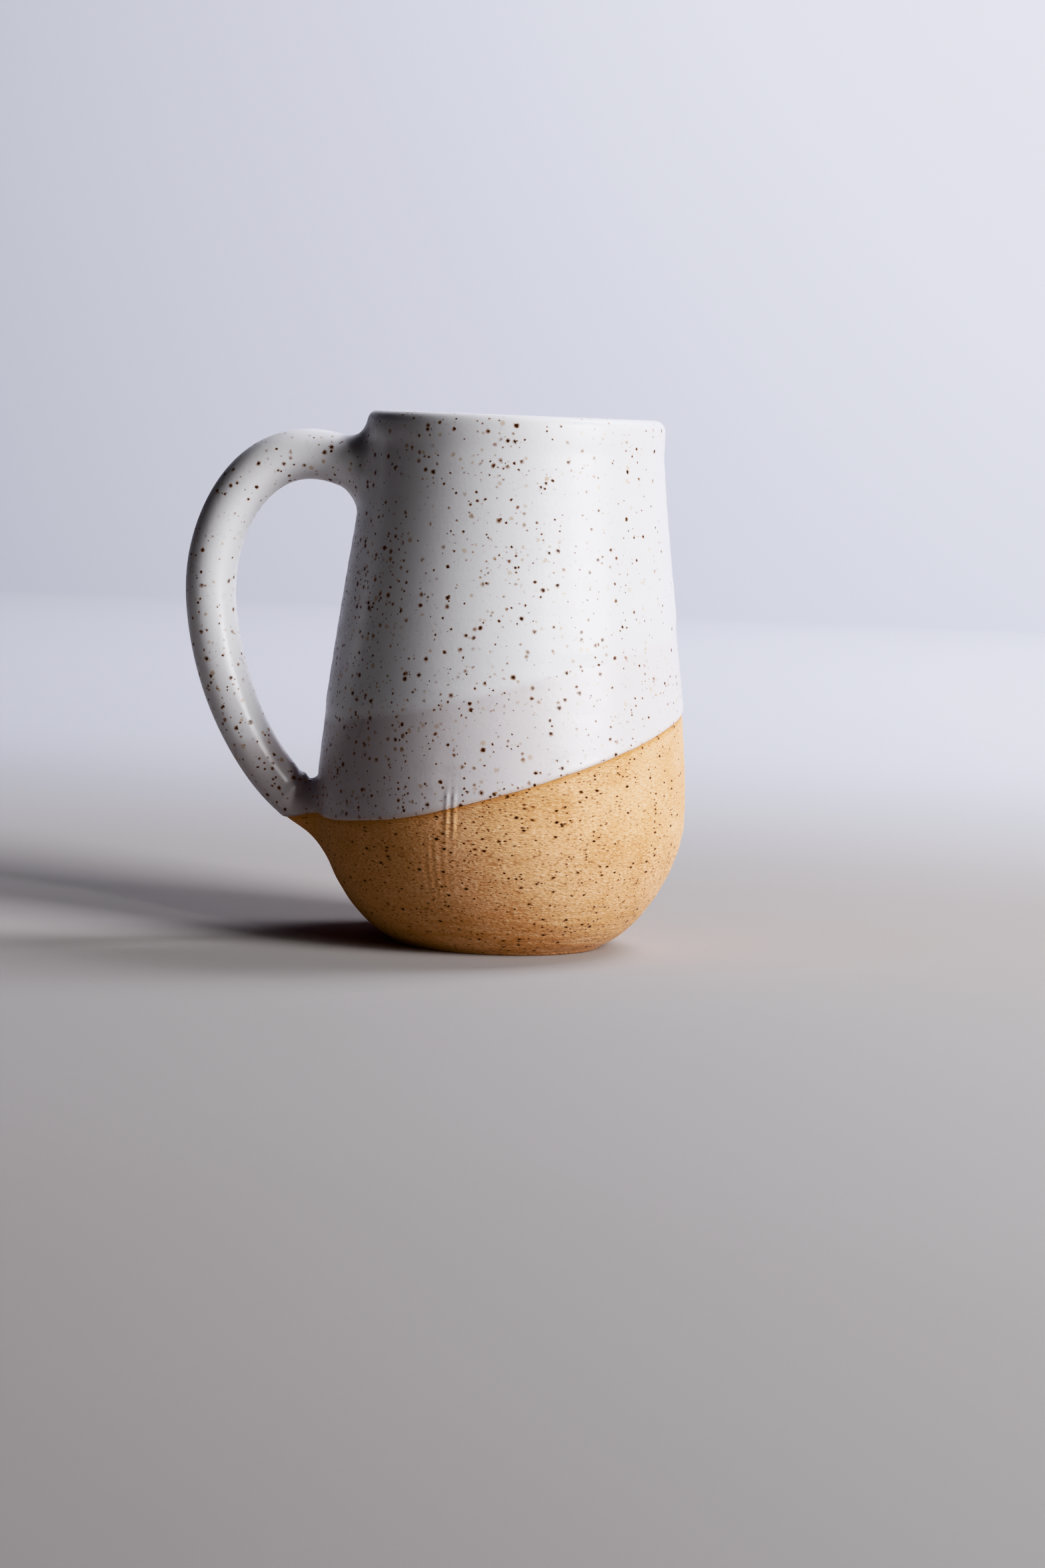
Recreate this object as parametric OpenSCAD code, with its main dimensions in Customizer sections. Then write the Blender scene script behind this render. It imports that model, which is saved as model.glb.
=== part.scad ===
// Hand-thrown stoneware mug with a pulled loop handle and a tilted dip glaze.
// Millimetres. The foot stands on z = 0 with its centre at the origin, +Z is up,
// and the handle points along -X.

/* [Overall size] */
// Height of the finished mug, over the glazed rim
mug_h = 122; // [100:1:148]
// Diameter of the bare clay at the widest part of the belly
belly_d = 85; // [76:1:102]
// Height of the widest part above the table
belly_z = 30.3; // [26:0.1:36]
// Outer diameter of the bare clay at the rim
rim_d = 67; // [56:1:74]
// Outer diameter of the foot
foot_d = 48.8; // [40:0.2:56]

/* [Wall curve] */
// How far the wall runs outwards as it leaves the foot
foot_run = 10; // [6:0.5:12]
// How far the wall rises over that run
foot_lift = 4.2; // [2:0.1:6]
// How far the belly stays upright below its widest part
belly_pull_down = 10.1; // [8:0.1:14]
// How far the belly stays upright above its widest part
belly_pull_up = 25.9; // [18:0.1:32]
// How far the wall stays upright below the rim
rim_pull = 22; // [14:0.5:30]

/* [Clay thickness] */
// Wall thickness at the rim, which is also the width of the round lip
rim_t = 3.6; // [2.8:0.1:5]
// Wall thickness at the belly
belly_t = 5; // [3.5:0.1:6.5]
// Thickness of the floor above the table
floor_t = 7; // [5:0.5:9]
// Radius of the flat middle of the floor, inside
floor_flat_r = 17; // [12:0.5:20]
// How far the floor runs on level before it turns up into the wall
floor_run = 13; // [8:0.5:15]

/* [Foot] */
// Width of the ring that touches the table
foot_ring_w = 5.5; // [4:0.5:8]
// Depth of the trimmed recess inside the ring
foot_recess = 1.5; // [0.5:0.1:2.5]
// Size of the sponged bevel on the foot's outer edge
foot_bevel = 0.6; // [0.3:0.1:1]

/* [Handle] */
// Diameter of the pulled clay handle at its upper end
handle_d = 11.4; // [9:0.1:13]
// Diameter of the handle at its lower end
handle_low_d = 10.6; // [8:0.1:13]
// Drop from the top of the clay rim to where the handle's centre leaves the wall
handle_drop = 12.5; // [11:0.5:18]
// Upward angle at which the handle leaves the wall
handle_rise_angle = 14; // [4:1:22]
// Straight length of the handle at its upper end
upper_straight = 7.2; // [7:0.1:9]
// Distance of the handle's centre beyond the belly at its outermost point
handle_reach = 26.4; // [22:0.1:34]
// Drop from the upper joint to the handle's outermost point
handle_bow_drop = 26; // [22:1:30]
// Height at which the handle's centre meets the lower wall
handle_low_z = 27.7; // [25:0.1:32]
// Slope of the handle as it comes down to the lower wall
handle_low_angle = 39; // [32:1:46]
// Straight length of the handle at its lower end
lower_straight = 4; // [2:0.5:6]

/* [Handle joints] */
// Radius of the clay fillet smoothed round the upper joint
upper_weld_r = 6; // [4:0.5:6.5]
// How far the fillet's base plane lies inside the wall
upper_weld_sink = 1.5; // [1:0.1:2.5]
// Thickness of the clay coil pressed round the lower joint
lower_coil_t = 4.8; // [3.5:0.1:6]
// Width of clay between the handle's surface and the coil's own centre line
lower_coil_gap = 0.7; // [0.3:0.1:1.5]
// How far the coil's plane lies inside the wall
lower_coil_sink = 2; // [1:0.1:3]
// Upward angle of the coil's own axis, between the handle's slope and the wall's face
lower_coil_angle = 15; // [8:1:24]

/* [Glaze] */
// Thickness of the first dip, from the rim down to the bare clay
first_dip_t = 0.4; // [0.3:0.05:0.6]
// Thickness of the second dip, which overlaps the top of the first
second_dip_t = 0.35; // [0.2:0.05:0.5]
// Thickness of the glaze poured inside
liner_t = 0.4; // [0.3:0.05:0.6]
// How far the coat on the handle laps over the coat on its upper joint
coat_lap = 0.5; // [0.3:0.1:1]
// Height of the first dip's edge, measured on the mug's axis
first_dip_z = 43; // [36:1:50]
// Tilt of the first dip's edge
first_dip_tilt = 18.5; // [0:0.5:20]
// Height of the second dip's edge, measured on the mug's axis
second_dip_z = 64.5; // [56:1:76]
// Tilt of the second dip's edge
second_dip_tilt = 15; // [0:0.5:20]
// Compass heading towards which both dip edges climb, counted from +X
dip_heading = 21; // [0:1:45]

/* [Hidden] */

// How finely each kind of curve is drawn
$fn = 192;
round_fn = 48;
tube_sides = 24;
arc_steps = 7;
curve_steps = 18;
lip_steps = 8;
// Length of each handle end inside the wall, before it is trimmed off flush
root = belly_t;
// A size larger than the whole mug
far = 4 * mug_h;

lip_r = rim_t / 2;
clay_h = mug_h - first_dip_t - second_dip_t;
lip_z = clay_h - lip_r;
lip_mid_r = rim_d / 2 - lip_r;
belly_r = belly_d / 2;
foot_r = foot_d / 2;
handle_r = handle_d / 2;

clay_colour = [0.66, 0.47, 0.33];
handle_clay_colour = [0.68, 0.49, 0.35];
weld_clay_colour = [0.62, 0.44, 0.31];
glaze_colour = [0.93, 0.91, 0.88];
thin_glaze_colour = [0.88, 0.85, 0.82];

// ---- plane geometry ----

function unit(v) = v / norm(v);
// The vector turned a quarter turn anticlockwise
function left_of(v) = [-v[1], v[0]];
function toward(angle) = [cos(angle), sin(angle)];
function reversed(list) = [for (i = [len(list) - 1:-1:0]) list[i]];

// A point on a cubic curve from p[0] to p[3], and the direction of travel there
function cubic(p, t) =
  pow(1 - t, 3) * p[0] + 3 * pow(1 - t, 2) * t * p[1] + 3 * (1 - t) * t * t * p[2] + pow(t, 3) * p[3];
function cubic_way(p, t) =
  unit(pow(1 - t, 2) * (p[1] - p[0]) + 2 * (1 - t) * t * (p[2] - p[1]) + t * t * (p[3] - p[2]));

// The curve moved sideways by g, to the right of its direction of travel
function beside(p, g) = [
  for (i = [0:curve_steps]) let (t = i / curve_steps) cubic(p, t) - g * left_of(cubic_way(p, t)),
];

// ---- the wall's section, as [radius, height] ----

outer_low = [
  [foot_r, foot_bevel], [foot_r + foot_run, foot_bevel + foot_lift],
  [belly_r, belly_z - belly_pull_down], [belly_r, belly_z],
];
outer_high = [
  [belly_r, belly_z], [belly_r, belly_z + belly_pull_up],
  [rim_d / 2, lip_z - rim_pull], [rim_d / 2, lip_z],
];
inner_low = [
  [floor_flat_r, floor_t], [floor_flat_r + floor_run, floor_t],
  [belly_r - belly_t, belly_z - belly_pull_down], [belly_r - belly_t, belly_z],
];
inner_high = [
  [belly_r - belly_t, belly_z], [belly_r - belly_t, belly_z + belly_pull_up],
  [rim_d / 2 - rim_t, lip_z - rim_pull], [rim_d / 2 - rim_t, lip_z],
];

// Outside of the wall from foot to lip, grown outwards by g
function outer_side(g) = concat(beside(outer_low, g), [for (i = [1:curve_steps]) beside(outer_high, g)[i]]);
// Inside of the wall from floor to lip, grown into the hollow by g
function inner_side(g) = concat(beside(inner_low, -g), [for (i = [1:curve_steps]) beside(inner_high, -g)[i]]);
// Round lip from the outside over to the inside, grown by g
function lip(g) = [
  for (i = [1:lip_steps - 1]) [lip_mid_r, lip_z] + (lip_r + g) * toward(180 * i / lip_steps),
];

// Outer radius of the bare wall at height z, for the joints to seat on
function wall_r(z) = lookup(z, [for (p = outer_side(0)) [p[1], p[0]]]);

// ---- the handle's route, as [distance out from the axis, height] ----

upper_joint = [wall_r(clay_h - handle_drop), clay_h - handle_drop];
upper_way = toward(handle_rise_angle);
upper_end = upper_joint + upper_straight * upper_way;
bow = [belly_r + handle_reach, clay_h - handle_drop - handle_bow_drop];
lower_joint = [wall_r(handle_low_z), handle_low_z];
lower_way = toward(handle_low_angle);
lower_end = lower_joint + lower_straight * lower_way;
down = [0, -1];

// Two arcs join p, heading along t, to q, heading along s. They meet at this point.
function arc_reach(v, t, s) = let (k = v * (t + s), c = 2 * (1 - t * s)) (sqrt(k * k + c * (v * v)) - k) / c;
function arcs_meet(p, t, q, s) = (p + q + arc_reach(q - p, t, s) * (t - s)) / 2;

// Points after p on the arc that leaves p along t and ends at q
function arc_points(p, t, q) =
  let (
    w = q - p,
    centre = p + (w * w) / (2 * (left_of(t) * w)) * left_of(t),
    from = atan2((p - centre)[1], (p - centre)[0]),
    to = atan2((q - centre)[1], (q - centre)[0]),
    sweep = (to - from) - 360 * round((to - from) / 360)
  )
  [for (i = [1:arc_steps]) centre + norm(p - centre) * toward(from + sweep * i / arc_steps)];

// Where the handle's own coat begins, just under the fillet's outer end
skin_start = upper_weld_r - upper_weld_sink - coat_lap;
upper_meet = arcs_meet(upper_end, upper_way, bow, down);
lower_meet = arcs_meet(bow, down, lower_end, -lower_way);
route = concat(
  [upper_joint - root * upper_way, upper_joint + skin_start * upper_way, upper_end],
  arc_points(upper_end, upper_way, upper_meet),
  reversed(concat([bow], [for (i = [0:arc_steps - 2]) arc_points(bow, -down, upper_meet)[i]])),
  arc_points(bow, down, lower_meet),
  reversed(concat([lower_end], [for (i = [0:arc_steps - 2]) arc_points(lower_end, lower_way, lower_meet)[i]])),
  [lower_joint - root * lower_way]
);
route_way = [
  for (i = [0:len(route) - 1]) unit(route[min(i + 1, len(route) - 1)] - route[max(i - 1, 0)]),
];
// The handle thins evenly from its first ring to its last
function ring_r(i) = handle_r + (handle_low_d / 2 - handle_r) * i / (len(route) - 1);

// Ring number i of the handle, grown by g, as points in space
function ring(i, g) = [
  for (k = [0:tube_sides - 1]) let (
    side = (ring_r(i) + g) * toward(360 * k / tube_sides),
    p = route[i] + side[0] * left_of(route_way[i])
  ) [-p[0], side[1], p[1]],
];

// Faces that join ring a to ring b of a grid of rings, turned inside out when flip is set
function band(a, b, flip) = [
  for (k = [0:tube_sides - 1]) let (n = (k + 1) % tube_sides, f = [
    a * tube_sides + k, a * tube_sides + n, b * tube_sides + n, b * tube_sides + k,
  ]) flip ? reversed(f) : f,
];

// The whole handle as a solid rod
module handle_rod() {
  last = len(route) - 1;
  polyhedron(
    points = [for (i = [0:last]) each ring(i, 0)],
    faces = concat(
      [for (i = [0:last - 1]) each band(i, i + 1, true)],
      [[for (k = [0:tube_sides - 1]) k]],
      [[for (k = [tube_sides - 1:-1:0]) last * tube_sides + k]]
    )
  );
}

// The skin of the handle from ring first on, between its clay and a growth of g
module handle_skin(first, g) {
  last = len(route) - 1;
  count = last - first + 1;
  polyhedron(
    points = concat([for (i = [first:last]) each ring(i, g)], [for (i = [first:last]) each ring(i, 0)]),
    faces = concat(
      [for (i = [0:count - 2]) each band(i, i + 1, true)],
      [for (i = [0:count - 2]) each band(count + i, count + i + 1, false)],
      band(0, count, false),
      band(count - 1, 2 * count - 1, true)
    )
  );
}

// Turns the children, drawn beside the Y axis, about the line that leaves a joint along way
module about_joint(joint, way) {
  rotate([90, 0, 180]) translate(joint) rotate([0, 90, atan2(way[1], way[0])]) rotate_extrude() children();
}

// ---- shared bodies ----

// Everything inside the wall's outer face
module wall_envelope() {
  rotate_extrude()
    polygon(concat([[0, 0], [foot_r - foot_bevel, 0]], outer_side(0), lip(0), [[0, lip_z]]));
}

// Fillet round the upper joint, grown by g, with the handle's own thickness inside it
module upper_fillet(g = 0) {
  spread = handle_r + upper_weld_r;
  about_joint(upper_joint - upper_weld_sink * upper_way, upper_way)
    difference() {
      translate([0, -root]) square([spread, root + upper_weld_r]);
      translate([spread, upper_weld_r]) circle(upper_weld_r - g, $fn = round_fn);
    }
}

// Coil pressed round the lower joint, grown by g
module lower_coil(g = 0) {
  way = toward(lower_coil_angle);
  about_joint(lower_joint - lower_coil_sink * way, way)
    translate([handle_low_d / 2 + lower_coil_gap, 0]) circle(lower_coil_t / 2 + g, $fn = round_fn);
}

// Round hole for the handle's lower end, grown by g
module lower_socket(g = 0) {
  about_joint(lower_joint - root * lower_way, lower_way) square([handle_low_d / 2 + g, root + lower_straight]);
}

// Both joints where they meet the wall, grown by g
module joints(g = 0) {
  upper_fillet(g);
  lower_coil(g);
  lower_socket(g);
}

// Everything above a dip's tilted edge
module above_edge(z, tilt) {
  translate([0, 0, z])
    rotate([0, -tilt, dip_heading])
      translate([-far / 2, -far / 2, 0]) cube(far);
}

// A coat on the outside of the wall and over the lip, between two growths
module wall_coat(from, to) {
  rotate_extrude()
    polygon(concat(
      outer_side(from), lip(from), [[lip_mid_r - lip_r - from, lip_z]],
      [[lip_mid_r - lip_r - to, lip_z]], reversed(lip(to)), reversed(outer_side(to))
    ));
}

// ---- sub-parts ----

module thrown_body() {
  recess_r = foot_r - foot_ring_w;
  color(clay_colour)
    rotate_extrude()
      polygon(concat(
        [[0, foot_recess], [recess_r - foot_recess, foot_recess], [recess_r, 0], [foot_r - foot_bevel, 0]],
        outer_side(0), lip(0), reversed(inner_side(0)), [[0, floor_t]]
      ));
}

module pulled_handle() {
  color(handle_clay_colour)
    difference() {
      handle_rod();
      wall_envelope();
    }
}

module upper_handle_weld() {
  color(weld_clay_colour)
    difference() {
      upper_fillet();
      handle_rod();
      wall_envelope();
    }
}

module lower_handle_coil() {
  color(weld_clay_colour)
    difference() {
      lower_coil();
      handle_rod();
      wall_envelope();
    }
}

module liner_glaze() {
  color(glaze_colour)
    rotate_extrude()
      polygon(concat([[0, floor_t]], inner_side(0), reversed(inner_side(liner_t)), [[0, floor_t + liner_t]]));
}

module first_dip_glaze() {
  color(thin_glaze_colour)
    difference() {
      intersection() {
        wall_coat(0, first_dip_t);
        above_edge(first_dip_z, first_dip_tilt);
      }
      joints(first_dip_t);
    }
}

module second_dip_glaze() {
  color(glaze_colour)
    difference() {
      intersection() {
        wall_coat(first_dip_t, first_dip_t + second_dip_t);
        above_edge(second_dip_z, second_dip_tilt);
      }
      joints(first_dip_t);
    }
}

module handle_glaze() {
  color(glaze_colour)
    intersection() {
      difference() {
        union() {
          handle_skin(1, first_dip_t);
          upper_fillet(first_dip_t);
        }
        upper_fillet();
        lower_coil();
        wall_envelope();
      }
      above_edge(first_dip_z, first_dip_tilt);
    }
}

thrown_body();
pulled_handle();
upper_handle_weld();
lower_handle_coil();
liner_glaze();
first_dip_glaze();
second_dip_glaze();
handle_glaze();
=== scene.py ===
# %% [markdown]
# # A hand-thrown stoneware mug
# The mug is one fired object: a thrown vessel, a pulled handle stuck to it with soft clay, and
# coats of glaze melted on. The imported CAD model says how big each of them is. This lesson rebuilds
# every one as a finer mesh, gives each its own clay or glaze, and lights them softly.

# %% Load the frame
from math import atan2, cos, exp, hypot, pi, radians, sin, sqrt

import bmesh
import bpy
from mathutils import Matrix, Vector, noise
from mathutils.geometry import interpolate_bezier


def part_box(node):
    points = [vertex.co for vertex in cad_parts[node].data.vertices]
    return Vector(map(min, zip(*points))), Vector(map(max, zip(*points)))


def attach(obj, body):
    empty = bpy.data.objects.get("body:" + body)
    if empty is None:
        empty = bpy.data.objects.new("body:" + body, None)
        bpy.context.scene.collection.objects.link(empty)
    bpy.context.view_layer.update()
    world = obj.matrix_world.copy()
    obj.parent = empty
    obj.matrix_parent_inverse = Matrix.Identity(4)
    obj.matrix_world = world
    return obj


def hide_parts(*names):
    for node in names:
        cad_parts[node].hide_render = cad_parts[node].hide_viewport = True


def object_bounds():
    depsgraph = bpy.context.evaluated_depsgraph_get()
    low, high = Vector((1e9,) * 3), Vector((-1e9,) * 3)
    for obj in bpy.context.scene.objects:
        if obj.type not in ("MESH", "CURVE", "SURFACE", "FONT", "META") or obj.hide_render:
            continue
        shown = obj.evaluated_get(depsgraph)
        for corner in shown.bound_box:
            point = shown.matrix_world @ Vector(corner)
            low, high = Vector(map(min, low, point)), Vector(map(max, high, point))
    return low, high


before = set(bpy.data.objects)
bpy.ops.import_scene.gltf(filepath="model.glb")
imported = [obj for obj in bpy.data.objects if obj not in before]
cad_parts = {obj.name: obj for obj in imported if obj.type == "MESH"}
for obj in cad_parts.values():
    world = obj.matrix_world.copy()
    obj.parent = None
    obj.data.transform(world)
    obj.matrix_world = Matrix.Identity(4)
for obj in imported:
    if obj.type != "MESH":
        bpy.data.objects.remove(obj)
cad_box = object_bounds()
MM = 0.001
print("CAD box in mm:", [[round(x / MM, 1) for x in corner] for corner in cad_box])

# %% [markdown]
# ## The camera
# A camera close to a mug makes its rim swell and its foot shrink. So this one stands a little under
# a metre away, with a short telephoto lens. It is level with the rim, which then shows edge-on as a
# straight line, and it looks down a few degrees to take in the foot. It leans slightly, as a camera
# held by hand does.

# %% Camera
foot_plane, rim_height = cad_box[0][2], cad_box[1][2]
VIEW_DISTANCE, LENS, SENSOR = 0.945, 94, 36
VIEW_DOWN, VIEW_RIGHT, VIEW_LEAN = radians(5.14), radians(0.283), radians(2.27)

camera_data = bpy.data.cameras.new("camera")
camera_data.lens = LENS
camera_data.sensor_width = SENSOR
camera = bpy.data.objects.new("camera", camera_data)
bpy.context.scene.collection.objects.link(camera)
turn = Matrix.Rotation(-VIEW_RIGHT, 4, "Z") @ Matrix.Rotation(pi / 2 - VIEW_DOWN, 4, "X")
camera.matrix_world = (
    Matrix.Translation((0, -VIEW_DISTANCE, rim_height)) @ turn @ Matrix.Rotation(VIEW_LEAN, 4, "Z")
)
bpy.context.scene.camera = camera
print("camera stands at", [round(x, 3) for x in camera.location])

# %% [markdown]
# ## The studio
# A plain pale floor runs up into a plain backdrop, with no line where they meet: a plane is added,
# its far and near edges are extruded upwards and the corners are bevelled round. One large soft lamp
# on the right does the work of a window, and a faint world fills the shadows. Two small helpers come
# first, because every operator acts on whatever is selected.

# %% Helpers for edit mode
def only(obj):
    """Makes obj the one selected and active object."""
    bpy.ops.object.select_all(action="DESELECT")
    obj.select_set(True)
    bpy.context.view_layer.objects.active = obj


def edit(obj):
    """Opens obj in edit mode with nothing selected, and gives its bmesh."""
    only(obj)
    bpy.ops.object.mode_set(mode="EDIT")
    bpy.ops.mesh.select_all(action="DESELECT")
    return bmesh.from_edit_mesh(obj.data)


def done(obj):
    """Goes back to object mode."""
    bmesh.update_edit_mesh(obj.data)
    bpy.ops.object.mode_set(mode="OBJECT")


# %% Floor and backdrop
FLOOR_HALF, BACKDROP_Y, BACKDROP_TOP, SWEEP_R = 3.0, 1.6, 2.6, 0.35
NEAR = 0.01


def runs_along_x(e):
    """True for the far and near edges of the floor, and for those above them."""
    return abs(e.verts[0].co.y - e.verts[1].co.y) < NEAR


bpy.ops.object.select_all(action="DESELECT")
bpy.ops.mesh.primitive_plane_add(size=2 * FLOOR_HALF, location=(0, BACKDROP_Y - FLOOR_HALF, foot_plane))
studio = bpy.context.object
studio.name = "studio_sweep"
bpy.ops.object.transform_apply(location=True)
mesh = edit(studio)
for e in mesh.edges:
    e.select_set(runs_along_x(e))
bmesh.update_edit_mesh(studio.data)
bpy.ops.mesh.extrude_region_move(TRANSFORM_OT_translate={"value": (0, 0, BACKDROP_TOP)})
mesh = bmesh.from_edit_mesh(studio.data)
for e in mesh.edges:
    e.select_set(runs_along_x(e) and all(v.co.z < foot_plane + NEAR for v in e.verts))
bmesh.update_edit_mesh(studio.data)
bpy.ops.mesh.bevel(offset=SWEEP_R, segments=24, affect="EDGES")
done(studio)
bpy.ops.object.shade_smooth()
print("studio sweep has", len(studio.data.polygons), "faces")


# %% Lamps
def soft_lamp(name, at, width, height, watts, colour, aim=(0, 0, 0.06)):
    """A rectangular soft box at a point, turned towards the mug."""
    data = bpy.data.lights.new(name, "AREA")
    data.shape = "RECTANGLE"
    data.size, data.size_y = width, height
    data.energy = watts
    data.color = colour
    lamp = bpy.data.objects.new(name, data)
    bpy.context.scene.collection.objects.link(lamp)
    way = Vector(aim) - Vector(at)
    lamp.matrix_world = Matrix.Translation(at) @ way.to_track_quat("-Z", "Y").to_matrix().to_4x4()


soft_lamp("window", (1.06, -0.70, 0.57), 0.62, 0.9, 23.5, (0.965, 0.975, 1.0))
soft_lamp("backdrop_wash", (0.9, 0.7, 1.5), 1.0, 1.0, 48, (0.90, 0.92, 1.0), aim=(0.2, 1.6, 0.5))

# %% [markdown]
# The mug's own shadow falls on the handle, because the window is on the other side. A spot lamp with
# a very narrow cone lifts the handle alone, and the wall beside it stays as deep as the window
# leaves it. Photographers call the tube that narrows such a lamp a snoot.

# %% Lamp for the handle
SNOOT_AT, SNOOT_AIM = Vector((0.72, -1.14, 0.50)), Vector((-0.083, 0, 0.064))
snoot_data = bpy.data.lights.new("handle_snoot", "SPOT")
snoot_data.energy, snoot_data.shadow_soft_size = 32, 0.07
snoot_data.spot_size, snoot_data.spot_blend = radians(4.3), 0.6
snoot = bpy.data.objects.new("handle_snoot", snoot_data)
bpy.context.scene.collection.objects.link(snoot)
snoot_turn = (SNOOT_AIM - SNOOT_AT).to_track_quat("-Z", "Y").to_matrix().to_4x4()
snoot.matrix_world = Matrix.Translation(SNOOT_AT) @ snoot_turn
print("snoot stands", round((SNOOT_AIM - SNOOT_AT).length, 2), "m from the handle")

# %% Faint light all round
AIR_COLOUR, AIR_STRENGTH = (1.0, 0.96, 0.94, 1), 0.03
world = bpy.data.worlds.new("studio_air")
bpy.context.scene.world = world
world.use_nodes = True
world.node_tree.nodes["Background"].inputs["Color"].default_value = AIR_COLOUR
world.node_tree.nodes["Background"].inputs["Strength"].default_value = AIR_STRENGTH
print("air strength", AIR_STRENGTH)

# %% [markdown]
# Deep shadows and soft whites are what make a glaze look wet and a clay dry. A gentle S-shaped
# curve in the display settings gives both, and leaves the lamps plain. The view transform under it
# is the neutral one, which keeps the clay's and the glaze's colours true until they are very bright.

# %% Contrast
CONTRAST = ((0.12, 0.088), (0.42, 0.455), (0.72, 0.745))
BRIGHTEST = 0.925

view = bpy.context.scene.view_settings
view.view_transform = "Khronos PBR Neutral"
view.use_curve_mapping = True
contrast = view.curve_mapping.curves[3]
for plain, shown in CONTRAST:
    contrast.points.new(plain, shown)
contrast.points[-1].location = (1.0, BRIGHTEST)
view.curve_mapping.extend = "EXTRAPOLATED"
view.curve_mapping.update()
print("contrast curve through", [tuple(round(x, 3) for x in p.location) for p in contrast.points])

# %% [markdown]
# ## The wall's section
# A potter throws a round wall, so one line describes it: the outline from the foot, out to the
# belly, up the neck and over the lip. Two Bézier curves make that line. They meet at the belly,
# where the wall stands upright, and their handles there are vertical, so no kink shows.

# %% Section of the clay
clay_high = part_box("thrown_body")[1]
CLAY_TOP = clay_high.z
BELLY_R, BELLY_Z = clay_high.x, 30.3 * MM
FOOT_R, FOOT_BEVEL, FOOT_RING, FOOT_RECESS = 24.4 * MM, 0.6 * MM, 5.5 * MM, 1.5 * MM
RIM_R, RIM_WALL, BELLY_WALL, FLOOR = 33.5 * MM, 3.6 * MM, 5 * MM, 7 * MM
LIP_R = RIM_WALL / 2
LIP_Z = CLAY_TOP - LIP_R
FLOOR_R = 17 * MM
FOOT_PULL, FLOOR_PULL_R = (10 * MM, 4.2 * MM), 30 * MM
PULL_UNDER_BELLY, PULL_OVER_BELLY, PULL_UNDER_LIP = 10.1 * MM, 25.9 * MM, 22 * MM
CURVE_STEPS, LIP_STEPS = 54, 14


def curve(start, start_handle, end_handle, end, steps=CURVE_STEPS):
    """Points on a Bézier curve, each (radius, height)."""
    line = [Vector((*p, 0)) for p in (start, start_handle, end_handle, end)]
    return [p.to_2d() for p in interpolate_bezier(*line, steps)]


outer_line = curve(
    (FOOT_R, FOOT_BEVEL), (FOOT_R + FOOT_PULL[0], FOOT_BEVEL + FOOT_PULL[1]),
    (BELLY_R, BELLY_Z - PULL_UNDER_BELLY), (BELLY_R, BELLY_Z),
)
outer_line += curve(
    (BELLY_R, BELLY_Z), (BELLY_R, BELLY_Z + PULL_OVER_BELLY),
    (RIM_R, LIP_Z - PULL_UNDER_LIP), (RIM_R, LIP_Z),
)[1:]
inner_line = curve(
    (FLOOR_R, FLOOR), (FLOOR_PULL_R, FLOOR),
    (BELLY_R - BELLY_WALL, BELLY_Z - PULL_UNDER_BELLY), (BELLY_R - BELLY_WALL, BELLY_Z),
)
inner_line += curve(
    (BELLY_R - BELLY_WALL, BELLY_Z), (BELLY_R - BELLY_WALL, BELLY_Z + PULL_OVER_BELLY),
    (RIM_R - RIM_WALL, LIP_Z - PULL_UNDER_LIP), (RIM_R - RIM_WALL, LIP_Z),
)[1:]
lip_line = [
    Vector((RIM_R - LIP_R + LIP_R * cos(pi * i / LIP_STEPS), LIP_Z + LIP_R * sin(pi * i / LIP_STEPS)))
    for i in range(1, LIP_STEPS)
]
print("section:", len(outer_line), "points outside,", len(inner_line), "inside")


# %% Offsetting a section
def grown(line, amount):
    """The line moved to the right of its direction of travel, as a coat of that thickness lies on it."""
    out = []
    for i, p in enumerate(line):
        way = (line[min(i + 1, len(line) - 1)] - line[max(i - 1, 0)]).normalized()
        out.append(p + amount * Vector((way.y, -way.x)))
    return out


def wall_radius(line, height):
    """The radius of a section's line at a height."""
    for low, high in zip(line, line[1:]):
        if low.y <= height <= high.y:
            return low.x + (high.x - low.x) * (height - low.y) / (high.y - low.y)
    return line[0].x if height < line[0].y else line[-1].x


print("the neck is", round(wall_radius(outer_line, 80 * MM) / MM, 1), "mm in radius 80 mm up")

# %% [markdown]
# ## The hand in it
# Nothing thrown on a wheel is perfectly round. The wall swells and dips by a few tenths of a
# millimetre, fingers leave very shallow rings that climb as a spiral, and the lip is pressed into a
# slight collar. A tool touched the front once, low down, and raised two upright ridges that the
# glaze's edge crosses, with a bead on top and faint finger lines below. One function gives that
# unevenness for any direction and height. The clay and every coat use it, so they stay together.

# %% Unevenness of the wall
SWELL, RING_DEPTH, RING_PITCH, COLLAR = 0.22 * MM, 0.035 * MM, 5.2 * MM, 0.11 * MM
PRESS_ANGLE, PRESS_Z = atan2(-41, -11.3), 33.5 * MM
PRESS_DEPTH, PRESS_WIDTH, PRESS_GAP = 0.19 * MM, 0.42 * MM, 1.7 * MM
PRESS_SIDE, PRESS_UP, FINGER_DEPTH, FINGER_PITCH = 10 * MM, 26 * MM, 0.045 * MM, 1.9 * MM


def bump(distance, width):
    """A smooth rise: 1 in the middle, and gone at about twice the width."""
    return exp(-(distance / width) ** 2)


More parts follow.
